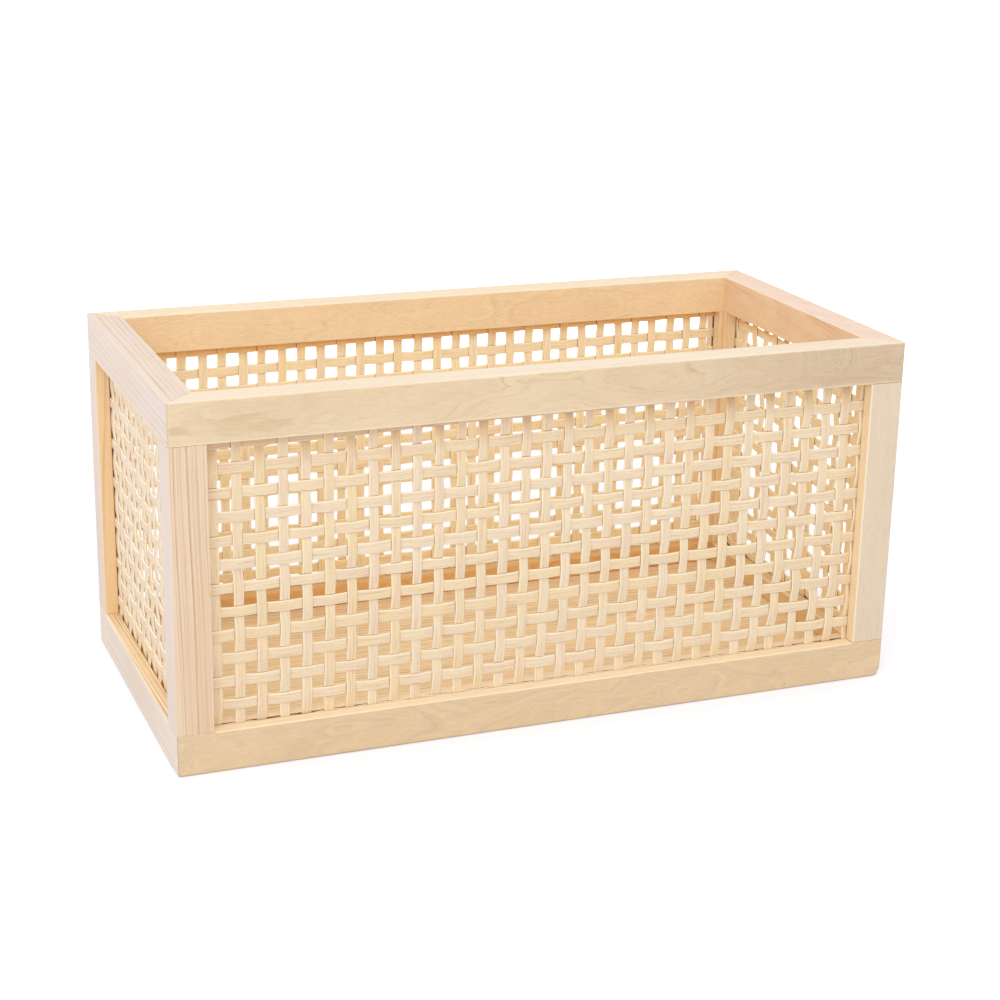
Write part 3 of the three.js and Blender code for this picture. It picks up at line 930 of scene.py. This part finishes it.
# One set of strips of a sheet, as an array of strips, stations and section points, with marks and
# UVs. The depth of a strip's middle is a wave that is flat over each crossing: 1.5 c - 0.5 c^3 of
# a cosine c.
def stripRings(sideName, uprights):
    side, sheet = sides[sideName], sheets[sideName]
    size = openingOf(side)
    own, other = ("upright", "crosser") if uprights else ("crosser", "upright")
    axis = 0 if uprights else 1
    centres, _, width = stripPlaces(sideName, own)
    others, otherPitch, otherWidth = stripPlaces(sideName, other)
    count = len(centres)
    tuck = caneTuck / mm
    runLength = size[1 - axis] + 2 * tuck
    along = np.linspace(-tuck, size[1 - axis] + tuck, int(runLength / weave["station"]))
    rng = np.random.default_rng(sheet["seed"] * weave["stripSeed"] + axis)

    # The uprights meet the topmost crosser where it has risen to
    centres, along = centres[:, None], along[None]
    reach = otherWidth * weave["riseStart"]
    between = (others[-2] + reach, others[-1] - reach)
    risen = topRise(centres, size, sheet) * np.interp(along, between, (0, 1)) if uprights else 0
    station = along - risen + 0 * centres
    turn, gap = amongCrossed(station, others, otherPitch, otherWidth, -1 if uprights else 1)

    across, up = (centres, along) if uprights else (along, centres)
    shift = sheetShift(across, up, size, sheet)
    phases = rng.uniform(0, 2 * math.pi, (4, count, 1))
    wobble = np.sin(along * math.pi / otherPitch + phases[0])
    wobble = wobble * rng.uniform(weave["leastWobble"], 1, (count, 1))
    slower = np.sin(along * 2 * math.pi / weave["wobbleLength"] + phases[1])
    wobble = wobble + slower * rng.uniform(0, 1, (count, 1))
    shift[axis] += weave[own + "Wobble"] * wobble
    if not uprights:
        shift[1, -1] += topRise(along[0], size, sheet)
    position = np.stack(np.broadcast_arrays(across, up)) + shift

    sign = np.where(np.arange(count) % 2 == 0, 1, -1)[:, None] * (1 if uprights else -1)
    lift = sheet["lifts"][axis]
    wave = lift * sign * (1.5 * turn - 0.5 * turn ** 3)
    widths = width * (1 + weave["widthSpread"] * rng.uniform(-1, 1, (count, 1)))
    wider = np.sin(along * 2 * math.pi / weave["widthLength"] + phases[2])
    widths = widths * (1 + weave["widthWave"] * wider)
    roll = weave["roll"] * np.sin(along * 2 * math.pi / weave["rollLength"] + phases[3])

    tangent = np.gradient(position, axis=2)
    tangent /= np.linalg.norm(tangent, axis=0)
    sideways = np.stack((-tangent[1], tangent[0]))
    sectionWidth, sectionHeight = stripSection()
    offset = sideways[..., None] * (widths[..., None] / 2 * sectionWidth)
    place = position[..., None] + offset
    depth = wave[..., None] + weave["thickness"] / 2 * sectionHeight + roll[..., None] * sectionWidth
    x = place[0] * mm + stileWidth - side["length"] / 2
    y = (depth + weave["depth"]) * mm
    z = place[1] * mm + railHeight
    rings = np.stack((x, y, z), axis=-1)
    centimetre = 10
    uv = np.broadcast_arrays((sectionWidth + 1) / 2, along[..., None] / centimetre, x)[:2]
    onFace = np.abs(sectionHeight) > weave["faceFrom"]
    inner = sectionHeight > weave["faceFrom"]
    behindTop = sign * (-1) ** (len(others) - 1) > 0
    ownShare = np.where(behindTop, 1, weave["overTop"])[..., None]
    railShadowPart = ownShare if uprights else weave["crosserRailShadow"]
    covered = -np.sign(sectionHeight) * wave[..., None] / lift * weave["coverGain"]
    # The marks carry painted light and shade: a shadow line beside covered places, bounce light on
    # inner faces, light on one sheet's side walls and a shadow under the top rail
    marks = {
        "stripTone": rng.uniform(0, 1, (count, 1, 1)),
        "covered": np.clip(covered, 0, 1) * sheet["shade"],
        "beside": gap[..., None],
        "inner": inner,
        "wallLight": sheet["wallLight"] * np.where(onFace, weave["wallLightOnFace"], 1),
        "railShadow": railShadowShare(size[1] - place[1], inner, sheet, railShadowPart),
    }
    return placeOnSide(rings, side), marks, np.stack(uv, axis=-1)


caneFinish = caneMaterial()
for sideName in sides:
    for kind in ("uprights", "crossers"):
        name = f"{sideName}_woven_{kind}"
        mesh = closedMesh(name, *stripRings(sideName, kind == "uprights"))
        addPiece(name, mesh, caneFinish, [f"{sideName}_cane_{kind}"])
print("Cane woven")


# The studio: a pale floor, a white backdrop and soft light

studio = {
    "worldStrength": 0.95, "floorColour": (226, 226, 234), "floorLift": 0.3,
    "keyPower": 5.0, "keySize": 0.9, "keyPlace": (-0.65, -1.1, 1.0),
    "topPower": 0.5, "topSize": 1.2, "topHeight": 1.4,
    "whiteFrom": 0.35, "whiteTo": 0.9, "floorHalf": 4.0, "floorDrop": 0.0002,
}


# A factor that is 1 where the camera looks, straight or by way of gloss or glass
def seenFactor(tree):
    path = addNode(tree, "LightPath").outputs
    seen = calc(tree, "MAXIMUM", path["Is Camera Ray"], path["Is Glossy Ray"])
    return calc(tree, "MAXIMUM", seen, path["Is Transmission Ray"])


# Even light from all round, seen as white
def makeWorld():
    world = bpy.data.worlds.new("studio")
    tree = emptyTree(world)
    light = addNode(tree, "Background", {0: (1, 1, 1, 1), 1: studio["worldStrength"]})
    white = addNode(tree, "Background", {0: (1, 1, 1, 1), 1: 1.0})
    mix = addNode(tree, "MixShader", {0: seenFactor(tree), 1: light.outputs[0], 2: white.outputs[0]})
    addNode(tree, "OutputWorld", {0: mix.outputs[0]})
    bpy.context.scene.world = world


# A matt floor that takes the basket's shadow and turns white further away
def makeFloor():
    half = studio["floorHalf"]
    mesh = bpy.data.meshes.new("floor")
    level = boxLow.z - studio["floorDrop"]
    corners = [(x * half, y * half, level) for x, y in ((-1, -1), (1, -1), (1, 1), (-1, 1))]
    mesh.from_pydata(corners, [], [(0, 1, 2, 3)])
    material, tree = newMaterial("floor")
    matte = addNode(tree, "BsdfDiffuse", {0: tone(*studio["floorColour"])})
    reach = lengthOf(tree, addNode(tree, "TexCoord").outputs["Object"])
    lift = eased(tree, reach, studio["whiteFrom"], studio["whiteTo"])
    lift = calc(tree, "ADD", lift, studio["floorLift"])
    lift = times(tree, lift, seenFactor(tree))
    glow = addNode(tree, "Emission", {0: (1, 1, 1, 1), 1: lift})
    both = addNode(tree, "AddShader", {0: matte.outputs[0], 1: glow.outputs[0]})
    addNode(tree, "OutputMaterial", {0: both.outputs[0]})
    mesh.materials.append(material)
    addObject("floor", mesh)


# A square lamp aimed at the basket's middle
def addPanel(name, place, size, power):
    lamp = bpy.data.lights.new(name, "AREA")
    lamp.shape = "SQUARE"
    lamp.size = size
    lamp.energy = power
    panel = addObject(name, lamp)
    panel.location = place
    aim = Vector((0, 0, basketHeight / 2)) - Vector(place)
    panel.rotation_euler = aim.to_track_quat("-Z", "Y").to_euler()


# Where the photograph was taken from, in degrees, pixels and metres; the sensor in millimetres
view = {
    "azimuth": -21.75, "elevation": 18.22, "roll": 1.10, "focalPixels": 2089.2, "imagePixels": 1000,
    "place": (-0.33531, -0.85554, 0.38058), "sensor": 36.0,
}


# The camera is rolled about its own axis, tipped down from level and turned about Z
def makeCamera():
    turn = turnBy(90 - view["elevation"], 0, view["azimuth"]) @ turnBy(0, 0, view["roll"])
    data = bpy.data.cameras.new("camera")
    data.sensor_width = view["sensor"]
    data.lens = view["focalPixels"] / view["imagePixels"] * view["sensor"]
    camera = addObject("camera", data)
    camera.matrix_world = Matrix.Translation(view["place"]) @ turn.to_4x4()
    bpy.context.scene.camera = camera


makeWorld()
makeFloor()
addPanel("key", studio["keyPlace"], studio["keySize"], studio["keyPower"])
addPanel("top", (0, 0, studio["topHeight"]), studio["topSize"], studio["topPower"])
makeCamera()
bpy.context.scene.view_settings.view_transform = "Standard"
print("Studio set")
